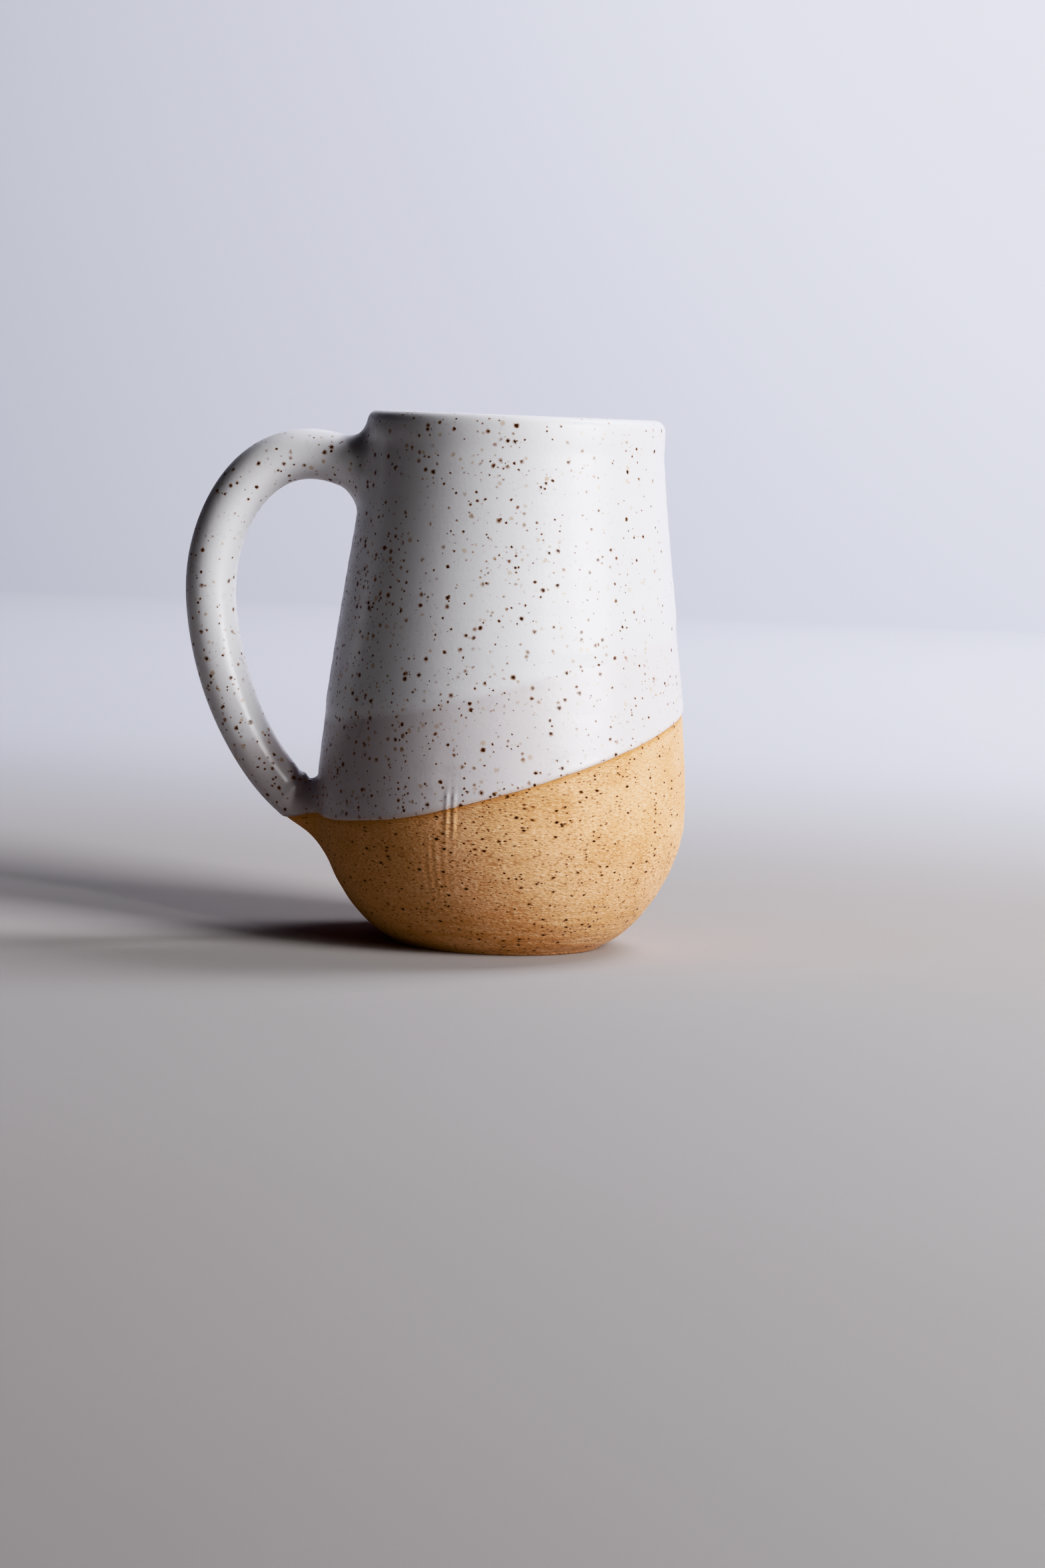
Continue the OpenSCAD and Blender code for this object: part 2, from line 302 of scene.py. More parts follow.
def unevenness(angle, height):
    """How far the wall stands out from its true circle, in metres."""
    there = Vector((cos(angle), sin(angle), height / 45 / MM))
    swell = SWELL * noise.noise(there * 1.3)
    rings = RING_DEPTH * sin(2 * pi * height / RING_PITCH + angle + 3 * noise.noise(there))
    down = LIP_Z - height
    rings += COLLAR * (bump(down - 1.5 * MM, 1.8 * MM) - 0.9 * bump(down - 6 * MM, 2.6 * MM))
    across = (angle - PRESS_ANGLE) * BELLY_R
    up = height - PRESS_Z
    if abs(across) > PRESS_SIDE or abs(up) > PRESS_UP:
        return swell + rings
    ridges = sum(bump(across - side * PRESS_GAP / 2, PRESS_WIDTH) for side in (-1, 1))
    creases = 0.35 * bump(across, PRESS_WIDTH) + 0.15 * sum(
        bump(across - side * PRESS_GAP, 1.3 * PRESS_WIDTH) for side in (-1, 1)
    )
    mark = bump(up + 1 * MM, 4.4 * MM) * (ridges - creases)
    bead = 0.7 * bump(up - 3.6 * MM, 0.7 * MM) * ridges
    dimple = 0.3 * bump(across + 1.5 * MM, 2 * MM) * bump(up - 9 * MM, 5 * MM)
    below = bump(across + 4 * MM, 3.5 * MM) * bump(up + 14 * MM, 8 * MM)
    fingers = below * sin(2 * pi * across / FINGER_PITCH)
    return swell + rings + PRESS_DEPTH * (mark + bead - dimple) + FINGER_DEPTH * fingers


print("the tool's mark lies", round(PRESS_Z / MM, 1), "mm up and is", PRESS_DEPTH / MM, "mm high")

# %% [markdown]
# ## The lathe
# Blender's spin turns a line of points round an axis, as the wheel turns the clay under the hand. A
# circle primitive is the quickest way to get a chain of points in order, so it is added with as many
# points as the section has, and they are moved onto it. After the turn the first and last rows lie
# on each other. They are merged, and only then are the normals turned outwards.


# %% Lathe
SPIN_STEPS = 288
MERGE = 0.00001
STILL_TO, FREE_AFTER = 2 * MM, 6 * MM


def thrown(name, line):
    """Spins a section line, each point (radius, height), once round the Z axis."""
    bpy.ops.object.select_all(action="DESELECT")
    bpy.ops.mesh.primitive_circle_add(vertices=len(line), radius=1, fill_type="NOTHING")
    obj = bpy.context.object
    obj.name = obj.data.name = name
    mesh = edit(obj)
    mesh.verts.ensure_lookup_table()
    for v, p in zip(mesh.verts, line):
        v.co = (p.x, 0, p.y)
    mesh.edges.remove(mesh.edges.get((mesh.verts[0], mesh.verts[-1])))
    bmesh.update_edit_mesh(obj.data)
    bpy.ops.mesh.select_all(action="SELECT")
    bpy.ops.mesh.spin(steps=SPIN_STEPS, angle=2 * pi, center=(0, 0, 0), axis=(0, 0, 1))
    bpy.ops.mesh.select_all(action="SELECT")
    bpy.ops.mesh.remove_doubles(threshold=MERGE)
    bpy.ops.mesh.normals_make_consistent(inside=False)
    done(obj)
    return obj


def refine_press(obj):
    """Splits the faces round the tool's mark and the finger lines finely enough to show them."""
    mesh = edit(obj)
    bpy.ops.mesh.select_mode(type="FACE")
    for f in mesh.faces:
        at = f.calc_center_median()
        across = (atan2(at.y, at.x) - PRESS_ANGLE) * BELLY_R
        outside = hypot(at.x, at.y) > BELLY_R - 0.6 * BELLY_WALL or at.z < BELLY_Z - 8 * MM
        near = -0.9 * PRESS_SIDE < across < 0.5 * PRESS_SIDE and abs(at.z - PRESS_Z + 5 * MM) < 17 * MM
        f.select_set(outside and near and at.z > 8 * MM)
    bmesh.update_edit_mesh(obj.data)
    bpy.ops.mesh.subdivide(number_cuts=2)
    bpy.ops.mesh.select_mode(type="VERT")
    done(obj)


def by_hand(obj):
    """Moves each point of a thrown piece in or out as the hand left it. The foot stays true."""
    for v in obj.data.vertices:
        r = hypot(v.co.x, v.co.y)
        if r > 1 * MM:
            fade = min(1, max(0, (v.co.z - STILL_TO) / FREE_AFTER))
            out = fade * unevenness(atan2(v.co.y, v.co.x), v.co.z) / r
            v.co.x += out * v.co.x
            v.co.y += out * v.co.y


print("the lathe turns in", SPIN_STEPS, "steps")

# %% [markdown]
# ## The thrown body
# The whole vessel is one closed skin of clay: up the outside, over the round lip, down the inside
# and across the floor, with a shallow recess trimmed under the foot so that it stands on a ring.
# Cutting a block or solidifying a tube would give the same wall everywhere, while a spun section
# keeps the real thickness: thin at the lip, thick at the belly and the floor.

# %% Thrown body
recess_r = FOOT_R - FOOT_RING
foot_line = [
    Vector((0, FOOT_RECESS)), Vector((recess_r / 2, FOOT_RECESS)),
    Vector((recess_r - FOOT_RECESS, FOOT_RECESS)), Vector((recess_r, 0.1 * MM)),
    Vector((recess_r + 0.3 * MM, 0)), Vector((FOOT_R - FOOT_BEVEL - 0.2 * MM, 0)),
    Vector((FOOT_R - 0.35 * FOOT_BEVEL, 0.25 * FOOT_BEVEL)),
]
floor_line = [Vector((r * MM, FLOOR)) for r in (12, 7, 3, 0)]
thrown_body = thrown("stoneware_body", foot_line + outer_line + lip_line + inner_line[::-1] + floor_line)
refine_press(thrown_body)
by_hand(thrown_body)
print("stoneware_body has", len(thrown_body.data.polygons), "faces")

# %% [markdown]
# ## The coats of glaze
# The glaze was poured inside, then the mug was held at a slant and dipped twice. So each outside
# coat is the wall's own surface, grown by the coat's thickness, and cut by a slanting plane that
# wavers a little. A melted edge isn't square: it rounds off over its last millimetre. To get
# that, the sheet is bisected several times just above its edge, and the new rows of points are
# lowered towards the clay. Solidify then closes the sheet into a real shell.

# %% Coats
FIRST_COAT, SECOND_COAT = 0.4 * MM, 0.75 * MM
SHELL, CUT_MERGE = 0.45 * MM, 0.000001
EDGE_ROUND, FAT_RIM, FAT_RIM_UP, FAT_RIM_WIDTH = 0.7 * MM, 0.05 * MM, 0.9 * MM, 0.7 * MM
STEP_RUN, STEP_SINK = 5.5 * MM, 0.02 * MM
EDGE_ROWS = [x * MM for x in (0, 0.1, 0.25, 0.45, 0.7, 1.1, 1.8)]
STEP_ROWS = [x * MM for x in (0, 0.9, 1.8, 2.8, 3.8, 4.8, 6)]
first_edge = dict(height=43.0 * MM, to_right=0.312, to_back=0.118, waver=0.32 * MM)
second_edge = dict(height=61.8 * MM, to_right=0.285, to_back=0.03, waver=0.5 * MM)


def edge_height(edge, x, y):
    """Height of a dip's edge at a place, with its slow and quick wavering."""
    at = Vector((x, y, 0)) / MM
    slow = noise.noise(at * 0.055 + Vector((3.7, 0, 9.1)))
    quick = noise.noise(at * 0.33 + Vector((0, 5.3, 2.2)))
    level = edge["height"] + edge["to_right"] * x + edge["to_back"] * y
    return level + edge["waver"] * (1.2 * slow + 0.3 * quick)


def dip(obj, edge, rows, thickness):
    """Cuts a sheet at the dip's edge, thins it there, and gives it a back.

    rows are the distances above the edge at which a row of points is added, and thickness says how
    thick the coat is at each distance."""
    for v in obj.data.vertices:
        v.co.z -= edge_height(edge, v.co.x, v.co.y)
    for row in rows:
        edit(obj)
        bpy.ops.mesh.select_all(action="SELECT")
        bpy.ops.mesh.bisect(
            plane_co=(0, 0, row), plane_no=(0, 0, 1), clear_inner=(row == rows[0]), threshold=CUT_MERGE
        )
        done(obj)
    full = thickness(100 * MM)
    sinks = [full - thickness(v.co.z) for v in obj.data.vertices]
    for v in obj.data.vertices:
        v.co.z += edge_height(edge, v.co.x, v.co.y)
    obj.data.update()
    normals = [v.normal.copy() for v in obj.data.vertices]
    for v, sink, normal in zip(obj.data.vertices, sinks, normals):
        v.co -= sink * normal
    back(obj)


def back(obj, depth=SHELL):
    """Solidifies a sheet inwards and applies it."""
    only(obj)
    solid = obj.modifiers.new("back", "SOLIDIFY")
    solid.thickness = depth
    solid.offset = -1
    bpy.ops.object.modifier_apply(modifier=solid.name)


def melted_edge(distance):
    """Thickness of the first coat: rounded off at its edge, with a faint fat rim above."""
    along = min(1, max(0, distance / EDGE_ROUND))
    rim = FAT_RIM * bump(distance - FAT_RIM_UP, FAT_RIM_WIDTH)
    return FIRST_COAT * (0.08 + 0.92 * sqrt(1 - (1 - along) ** 2)) + rim


def soft_step(distance):
    """Extra thickness of the second coat: it melted into the first over several millimetres."""
    along = min(1, max(0, distance / STEP_RUN))
    return (SECOND_COAT - FIRST_COAT) * along * along * (3 - 2 * along) - STEP_SINK * (1 - along)


print("first coat 1 mm above its edge:", round(melted_edge(1 * MM) / MM, 2), "mm")

# %% [markdown]
# The liner is the glaze that stayed when the mug was filled and poured out again. It lies on the
# inside wall and the floor, and runs up under the outside coats just inside the lip.

# %% Liner
LINER_COAT, LINER_LAP = 0.4 * MM, 0.2 * MM
liner_line = grown(inner_line[::-1], LINER_COAT)
liner_line = [Vector((RIM_R - RIM_WALL - LINER_COAT, LIP_Z + LINER_LAP))] + liner_line
liner_line += [Vector((p.x, FLOOR + LINER_COAT)) for p in floor_line]
liner = thrown("poured_liner", liner_line)
by_hand(liner)
print("poured_liner has", len(liner.data.polygons), "faces")

# %% [markdown]
# The first dip reaches from just inside the lip, over it, and down to the lower slanting edge. Its
# faces round the tool's mark are split like the clay's, so the ridges show through the coat.

# %% First dip
INSIDE_LIP = 0.5 * MM
coat_end = [Vector((RIM_R - RIM_WALL, LIP_Z - INSIDE_LIP))]
first_dip = thrown("first_dip_coat", grown(outer_line + lip_line + coat_end, FIRST_COAT))
refine_press(first_dip)
by_hand(first_dip)
dip(first_dip, first_edge, EDGE_ROWS, melted_edge)
print("first_dip_coat has", len(first_dip.data.polygons), "faces")

# %% [markdown]
# The second dip went less deep, and its lower edge melted into the first coat over several
# millimetres. Inside the lip it thins in the same way and then sinks under the liner, so that no
# ring shows where it ends.

# %% Second dip
INNER_ROWS, THINNED_AT = (0, 0.5, 1.1, 1.8, 2.6, 3.2, 3.6), 2.6
INNER_THICK, INNER_SINK = 0.36 * MM, 0.16 * MM
second_line = grown(outer_line + lip_line + coat_end, SECOND_COAT)[:-1]
for depth in INNER_ROWS:
    left = max(0, 1 - depth / THINNED_AT)
    thick = INNER_THICK + (SECOND_COAT - INNER_THICK) * left * left * (3 - 2 * left)
    thick -= INNER_SINK * max(0, depth - THINNED_AT) ** 2
    second_line.append(Vector((RIM_R - RIM_WALL - thick, LIP_Z - depth * MM)))
second_dip = thrown("second_dip_coat", second_line)
by_hand(second_dip)
dip(second_dip, second_edge, STEP_ROWS, soft_step)
print("second_dip_coat has", len(second_dip.data.polygons), "faces")

# %% [markdown]
# ## The handle
# The handle is a rope of clay pulled by hand and bent into an ear. Its middle line is drawn with two
# Bézier curves, in the plane y = 0, as (distance out from the axis, height). A curve object with a
# round bevel would give the rope, but not its two ends, where the clay was smoothed onto a curved
# wall. So a flat grid is rolled into a tube instead: one row of points after another is laid round
# the middle line, and the last rows spread out onto the wall itself.

# %% Route of the handle
UPPER_JOINT, UPPER_RISE = Vector((34.4 * MM, 107.9 * MM)), radians(27.7)
BOW = Vector((69.0 * MM, 80.7 * MM))
LOWER_JOINT, LOWER_SLOPE = Vector((42.6 * MM, 28.6 * MM)), radians(27.3)
UPPER_PULL, OVER_BOW, UNDER_BOW, LOWER_PULL = 25.3 * MM, 17.7 * MM, 16.5 * MM, 19.1 * MM
ROUTE_STEPS = 120

route = curve(
    UPPER_JOINT, UPPER_JOINT + UPPER_PULL * Vector((cos(UPPER_RISE), sin(UPPER_RISE))),
    BOW + Vector((0, OVER_BOW)), BOW, ROUTE_STEPS,
)
route += curve(
    BOW, BOW - Vector((0, UNDER_BOW)),
    LOWER_JOINT + LOWER_PULL * Vector((cos(LOWER_SLOPE), sin(LOWER_SLOPE))), LOWER_JOINT, ROUTE_STEPS,
)[1:]
miles = [0.0]
for p, q in zip(route, route[1:]):
    miles.append(miles[-1] + (q - p).length)
HANDLE_LENGTH = miles[-1]
print("handle is", round(HANDLE_LENGTH / MM, 1), "mm long")


def station(s):
    """The middle line's point and direction at a distance s from the upper joint."""
    if s <= 0:
        way = (route[1] - route[0]).normalized()
        return route[0] + s * way, way
    if s >= HANDLE_LENGTH:
        way = (route[-1] - route[-2]).normalized()
        return route[-1] + (s - HANDLE_LENGTH) * way, way
    low, high = 0, len(miles) - 1
    while high - low > 1:
        middle = (low + high) // 2
        low, high = (middle, high) if miles[middle] <= s else (low, middle)
    t = (s - miles[low]) / (miles[high] - miles[low])
    before = (route[low] - route[max(low - 1, 0)]) if low else (route[1] - route[0])
    after = route[high] - route[low]
    way = before.normalized().lerp(after.normalized(), t)
    return route[low].lerp(route[high], t), way.normalized()


def space(p):
    """A point of the handle's plane, (out, height), as a point in space. The handle points along -X."""
    return Vector((-p.x, 0, p.y))


# %% [markdown]
# The rope isn't the same all along. It is thickest round the bow, thinner towards its lower end, a
# little wider than it is deep, and it was pulled by hand, so its thickness wanders by a tenth of a
# millimetre.

# %% Surface of the handle
UPPER_R, BOW_R, LOWER_R = 5.3 * MM, 5.4 * MM, 4.75 * MM
OVAL, PULLED, PULLED_RUN = 1.08, 0.1 * MM, 17 * MM


def handle_radius(s):
    """Radius of the clay handle: full round the bow, thinner towards its lower end."""
    t = min(1, max(0, s / HANDLE_LENGTH))
    mean = UPPER_R * (1 - t) + LOWER_R * t
    swell = 4 * (BOW_R - (UPPER_R + LOWER_R) / 2) * t * (1 - t)
    pulled = PULLED * noise.noise(Vector((s / PULLED_RUN, 0, 4)))
    return mean + swell + pulled


def sideways(s, angle):
    """Direction from the middle line to the surface. Angle 0 is the outside of the loop."""
    way = station(s)[1]
    return cos(angle) * space(Vector((-way.y, way.x))) + OVAL * sin(angle) * Vector((0, 1, 0))


def handle_point(s, angle, coat):
    """A point on the handle's surface under a coat of that thickness."""
    return space(station(s)[0]) + (handle_radius(s) + coat) * sideways(s, angle)


print("the handle is", round(2 * handle_radius(HANDLE_LENGTH / 2) / MM, 1), "mm thick at the bow")

# %% [markdown]
# ## Where the handle meets the wall
# The potter scores both surfaces, adds slip and pushes soft clay into the corner with a thumb. On
# the upper joint that makes a smooth concave neck, wide at the sides and tight under the rim. The
# lower joint is smaller and shows the coil that was pressed round it. For each direction round the
# handle the place where its surface enters the wall is found first. A quarter of an ellipse then
# leads from the handle onto the wall, so that both ends of the fillet run out without an edge.

# %% Places on the wall
SEARCH, HALVINGS = 14 * MM, 30


def lies_on(line, point, lift=0.0):
    """The point moved in or out until it lies on the wall whose section is line."""
    angle, r = atan2(point.y, point.x), hypot(point.x, point.y)
    wanted = wall_radius(line, point.z) + unevenness(angle, point.z) + lift
    return Vector((point.x * wanted / r, point.y * wanted / r, point.z))


def wall_normal(line, point):
    """Direction straight out of the wall at a point on it."""
    step = 0.5 * MM
    rise = wall_radius(line, point.z + step) - wall_radius(line, point.z - step)
    out = Vector((point.x, point.y, 0)).normalized()
    return (out * 2 * step - Vector((0, 0, rise))).normalized()


def enters_wall(line, end, angle, coat):
    """Distance s at which the handle's surface enters the wall at its upper (0) or lower (1) end."""
    into = -SEARCH if end == 0 else SEARCH
    inside, outside = end * HANDLE_LENGTH + into, end * HANDLE_LENGTH - into
    for _ in range(HALVINGS):
        middle = (inside + outside) / 2
        p = handle_point(middle, angle, coat)
        buried = hypot(p.x, p.y) < wall_radius(line, p.z) + unevenness(atan2(p.y, p.x), p.z)
        inside, outside = (middle, outside) if buried else (inside, middle)
    return outside


entry = enters_wall(outer_line, 0, 0, 0)
print("the handle's top enters the wall", round(entry / MM, 1), "mm along its middle line")


# %% Shape of the joints
LEDGE, GROOVE_ABOVE, GROOVE_BELOW, CLAY_SHARE = 0.42, 0.20, 0.22, 0.25


def upper_fillet(angle):
    """Length of the upper fillet along the handle, and its spread on the wall."""
    top, side = max(0, cos(angle)), abs(sin(angle))
    return (5.5 + 1.5 * side - 0.5 * top) * MM, (4.5 + 4.5 * side ** 2 + 1.7 * top) * MM


def lower_fillet(angle):
    """The same for the lower fillet, which is small above and long underneath."""
    under, above, side = max(0, cos(angle)), max(0, -cos(angle)), abs(sin(angle))
    return (3.4 + 1.8 * above + 3 * under) * MM, (2.2 + 1.0 * side + 0.9 * above + 3.5 * under) * MM


def coil_marks(angle, left, coat):
    """How far the pressed coil stands out, at a distance left from the handle's lower end.

    The glaze gathers on its ledge, so the clay under the coat shows the marks more weakly."""
    seen = (0.5 - 0.5 * cos(angle)) * (1 if coat else CLAY_SHARE)
    ledge = LEDGE * bump(left - 8.2 * MM, 0.9 * MM) - GROOVE_ABOVE * bump(left - 10.2 * MM, 1.0 * MM)
    return seen * (ledge - GROOVE_BELOW * bump(left - 6.5 * MM, 0.9 * MM)) * MM


print("upper fillet on top:", [round(x / MM, 1) for x in upper_fillet(0)], "mm along and out")
print("lower fillet underneath:", [round(x / MM, 1) for x in lower_fillet(0)], "mm along and out")

# %% [markdown]
# Each fillet's rows start on the handle's own surface, which curves, so they follow it back towards
# the bow. A straight start would leave a step where the fillet and the rope meet. Three more rows
# carry the skirt out over the wall and then just under it.

# %% Rows of a joint
SIDES, FILLET_ROWS = 72, 14
SKIRT = ((0.4, 0.01), (0.9, 0.12), (1.2, 0.5))


def joint_rows(line, end, coat):
    """Rows of points from the handle's surface onto the wall, and where on the handle they begin."""
    rows, starts = [[] for _ in range(FILLET_ROWS + len(SKIRT))], []
    towards_bow = 1 if end == 0 else -1
    for k in range(SIDES):
        angle = 2 * pi * k / SIDES
        entry = enters_wall(line, end, angle, coat)
        length, spread = (upper_fillet, lower_fillet)[end](angle)
        root = handle_point(entry, angle, coat)
        normal = wall_normal(line, root)
        away = sideways(entry, angle)
        away = (away - away.dot(normal) * normal).normalized()
        starts.append(entry + towards_bow * length)
        for i in range(FILLET_ROWS):
            turn = pi / 2 * (i + 1) / FILLET_ROWS
            along, out = length * (1 - sin(turn)), spread * (1 - cos(turn))
            if end == 1:
                out += coil_marks(angle, HANDLE_LENGTH - entry + along, coat)
            risen = handle_point(entry + towards_bow * along, angle, coat) - root
            rows[i].append(lies_on(line, root + out * away) + risen)
        for i, (more, under) in enumerate(SKIRT):
            p = root + (spread + more * MM) * away
            rows[FILLET_ROWS + i].append(lies_on(line, p, -under * MM))
    return rows, starts


# %% [markdown]
# The whole handle is then one stack of rows: the upper joint's, the rope's and the lower joint's.
# The rope's rows lie closer together near both ends, where the fillets begin. A grid primitive with
# as many rows is moved onto them and its long edges are merged, which rolls it into a tube.

# %% Rows of the whole handle
MIDDLE_ROWS, CROWDING, TUBE_MERGE = 170, 0.09, 0.000001


def handle_rows(upper_line, lower_line, coat):
    """All rows from the upper joint's rim on the wall to the lower one's. Also where the joints end."""
    upper, first = joint_rows(upper_line, 0, coat)
    lower, last = joint_rows(lower_line, 1, coat)
    middle = []
    for i in range(MIDDLE_ROWS + 1):
        t = i / MIDDLE_ROWS
        t = t - CROWDING * sin(2 * pi * t) / pi
        row = []
        for k in range(SIDES):
            angle = 2 * pi * k / SIDES
            s = first[k] * (1 - t) + last[k] * t
            p = handle_point(s, angle, coat)
            left = HANDLE_LENGTH - s
            row.append(p + coil_marks(angle, left, coat) * sideways(s, angle))
        middle.append(row)
    return upper[::-1] + middle + lower, len(upper), len(upper) + MIDDLE_ROWS


def rolled(name, rows, capped=False):
    """A grid rolled into a tube: each row of points closes on itself. Open ends are filled if asked."""
    bpy.ops.object.select_all(action="DESELECT")
    bpy.ops.mesh.primitive_grid_add(x_subdivisions=SIDES, y_subdivisions=len(rows) - 1, size=1)
    obj = bpy.context.object
    obj.name = obj.data.name = name
    for i, v in enumerate(obj.data.vertices):
        v.co = rows[i // (SIDES + 1)][i % (SIDES + 1) % SIDES]
    edit(obj)
    bpy.ops.mesh.select_all(action="SELECT")
    bpy.ops.mesh.remove_doubles(threshold=TUBE_MERGE)
    if capped:
        bpy.ops.mesh.fill_holes(sides=0)
    bpy.ops.mesh.select_all(action="SELECT")
    bpy.ops.mesh.normals_make_consistent(inside=False)
    done(obj)
    obj.data.update()
    return obj


# %% [markdown]
# The clay handle is three lumps: the rope, the soft clay smoothed round its upper end, and the coil
# pressed round its lower end. The rows are shared out between them, six past each fillet going to
# the joint, so that their surfaces run on into each other. Each joint closes with a foot a little
# under the wall's surface.

# %% Clay handle and its two joints
JOINT_ROWS = 6
FOOT_DEPTH, FOOT_STEPS = 1.4 * MM, 4
rows, upper_end, lower_end = handle_rows(outer_line + lip_line, outer_line, 0)


def foot_in_wall(line, row):
    """Rows that close a joint's foot under the wall's surface, each smaller than the last."""
    middle = sum(row, Vector()) / len(row)
    shares = [1 - (i + 1) / FOOT_STEPS for i in range(FOOT_STEPS)]
    return [[lies_on(line, middle.lerp(p, share), -FOOT_DEPTH) for p in row] for share in shares]


weld_rows = foot_in_wall(outer_line, rows[0])[::-1] + rows[:upper_end + JOINT_ROWS]
rope_rows = rows[upper_end + JOINT_ROWS - 1:lower_end - JOINT_ROWS + 1]
coil_rows = rows[lower_end - JOINT_ROWS:] + foot_in_wall(outer_line, rows[-1])
weld = rolled("upper_joint_weld", weld_rows, capped=True)
rope = rolled("pulled_clay_handle", rope_rows, capped=True)
coil = rolled("lower_joint_coil", coil_rows, capped=True)
print("handle clay:", [len(o.data.polygons) for o in (weld, rope, coil)], "faces")

# %% [markdown]
# ## Glaze on the handle
# The handle went into the same bucket in the same two dips, so its coat is the same tube, a little
# thicker, laid on the glazed wall instead of on the bare one. It is cut at the same slanting edge.

# %% Handle coat
upper_wall = grown(outer_line + lip_line, SECOND_COAT)
lower_wall = grown(outer_line, FIRST_COAT)
coat_rows, _, _ = handle_rows(upper_wall, lower_wall, FIRST_COAT)
handle_coat = rolled("handle_coat", coat_rows)
dip(handle_coat, first_edge, EDGE_ROWS, melted_edge)
print("handle_coat has", len(handle_coat.data.polygons), "faces")

# %% [markdown]
# ## Glaze and clay
# Every pattern here is made of solid noise, read at the piece's own Object coordinates, so that one
# piece's pattern runs on into the next and nothing has a seam. A small helper adds a node, sets its
# sockets and links it, so that a material reads like a recipe.

# %% Node helpers
def new_material(name):
    """An empty material, its node tree and its Principled shader."""
    material = bpy.data.materials.new(name)
    material.use_nodes = True
    tree = material.node_tree
    return material, tree, tree.nodes["Principled BSDF"]


def put(tree, kind, out=0, settings=(), **sockets):
    """Adds a node, sets or links its input sockets, and gives one of its outputs.

    A socket is named by its label with _ for a space, or by inN for input number N."""
    made = tree.nodes.new("ShaderNode" + kind)
    for key, value in dict(settings).items():
        setattr(made, key, value)
    for key, value in sockets.items():
        place = int(key[2:]) if key[:2] == "in" and key[2:].isdigit() else key.replace("_", " ")
        if isinstance(value, bpy.types.NodeSocket):
            tree.links.new(value, made.inputs[place])
        else:
            made.inputs[place].default_value = value
    return made.outputs[out]


def calc(tree, operation, a, b=0.0, clamp=False):
    """A Math node."""
    return put(tree, "Math", settings={"operation": operation, "use_clamp": clamp}, in0=a, in1=b)


def ramp(tree, value, start, end, low=0.0, high=1.0):
    """Turns a value smoothly from low at start to high at end."""
    return put(
        tree, "MapRange", settings={"interpolation_type": "SMOOTHSTEP"},
        Value=value, From_Min=start, From_Max=end, To_Min=low, To_Max=high,
    )


def tint(tree, share, under, over):
    """Mixes two colours, over lying on under by share."""
    return put(tree, "Mix", out=2, settings={"data_type": "RGBA"}, in0=share, in6=under, in7=over)


def grain(tree, place, size, detail=2.0, stretch=(1, 1, 1), out=0):
    """Noise whose blotches are about size metres across, squeezed along each axis by stretch."""
    squeezed = put(tree, "VectorMath", settings={"operation": "MULTIPLY"}, in0=place, in1=stretch)
    return put(tree, "TexNoise", out=out, Vector=squeezed, Scale=1 / size, Detail=detail)


def above_edge(tree, place, edge):
    """Height above a dip's edge, in metres."""
    slope = (-edge["to_right"], -edge["to_back"], 1.0)
    up = put(tree, "VectorMath", out=1, settings={"operation": "DOT_PRODUCT"}, in0=place, in1=slope)
    return calc(tree, "SUBTRACT", up, edge["height"])


# %% [markdown]
# ## Iron specks
# The dark freckles are grains of iron ore in the clay that melt up through the glaze. A Voronoi
# pattern scatters one point in every cell of space, and a speck is a small ball round it, so that
# the surface cuts some through the middle and only grazes others: that gives the natural mix of
# sizes. The cell's random colour picks how large and how dark the grain is. Some leave only a pale
# brown stain. The place is shaken by fine noise first, because a perfect disc looks printed.

# %% Specks
SHAKE, SHAKE_SIZE = 0.45 * MM, 0.5 * MM


def specks(tree, place, cell, small, large, share, stretch=(1, 1, 1)):
    """Gives (core, halo, kind): how far a point lies in a speck, in its stain, and a random number."""
    shaken = grain(tree, place, SHAKE_SIZE, detail=1, out=1)
    shaken = put(tree, "VectorMath", settings={"operation": "SUBTRACT"}, in0=shaken, in1=(0.5, 0.5, 0.5))
    shaken = put(tree, "VectorMath", settings={"operation": "SCALE"}, in0=shaken, Scale=SHAKE)
    shaken = put(tree, "VectorMath", settings={"operation": "ADD"}, in0=place, in1=shaken)
    shaken = put(tree, "VectorMath", settings={"operation": "MULTIPLY"}, in0=shaken, in1=stretch)
    voronoi = tree.nodes.new("ShaderNodeTexVoronoi")
    tree.links.new(shaken, voronoi.inputs["Vector"])
    voronoi.inputs["Scale"].default_value = 1 / cell
    random = tree.nodes.new("ShaderNodeSeparateColor")
    tree.links.new(voronoi.outputs["Color"], random.inputs[0])
    size = calc(tree, "POWER", random.outputs[0], 2.0)
    radius = ramp(tree, size, 0, 1, small / cell, large / cell)
    reach = calc(tree, "DIVIDE", voronoi.outputs["Distance"], radius)
    present = ramp(tree, random.outputs[1], share, calc(tree, "SUBTRACT", share, 0.02))
    core = calc(tree, "MULTIPLY", ramp(tree, reach, 1.05, 0.6), present)
    halo = calc(tree, "MULTIPLY", ramp(tree, reach, 1.9, 0.8), present)
    return core, halo, random.outputs[2]


# %% [markdown]
# ## White glaze
# The glaze is a satin white: broad soft highlights, no mirror. It is a little thinner and greyer
# between the two dip edges, and near its lowest edge the clay warms it. Its surface is very finely
# dimpled, like an orange's skin. Three layers of specks lie in it, large, middling and dust, and
# they crowd in some places and thin out in others and towards the rim.

# %% White glaze
WHITE, THIN_WHITE, WARM = (0.78, 0.775, 0.785, 1), (0.70, 0.665, 0.67, 1), (0.52, 0.33, 0.19, 1)
IRON, RUST, OCHRE = (0.050, 0.021, 0.011, 1), (0.28, 0.12, 0.040, 1), (0.50, 0.31, 0.13, 1)
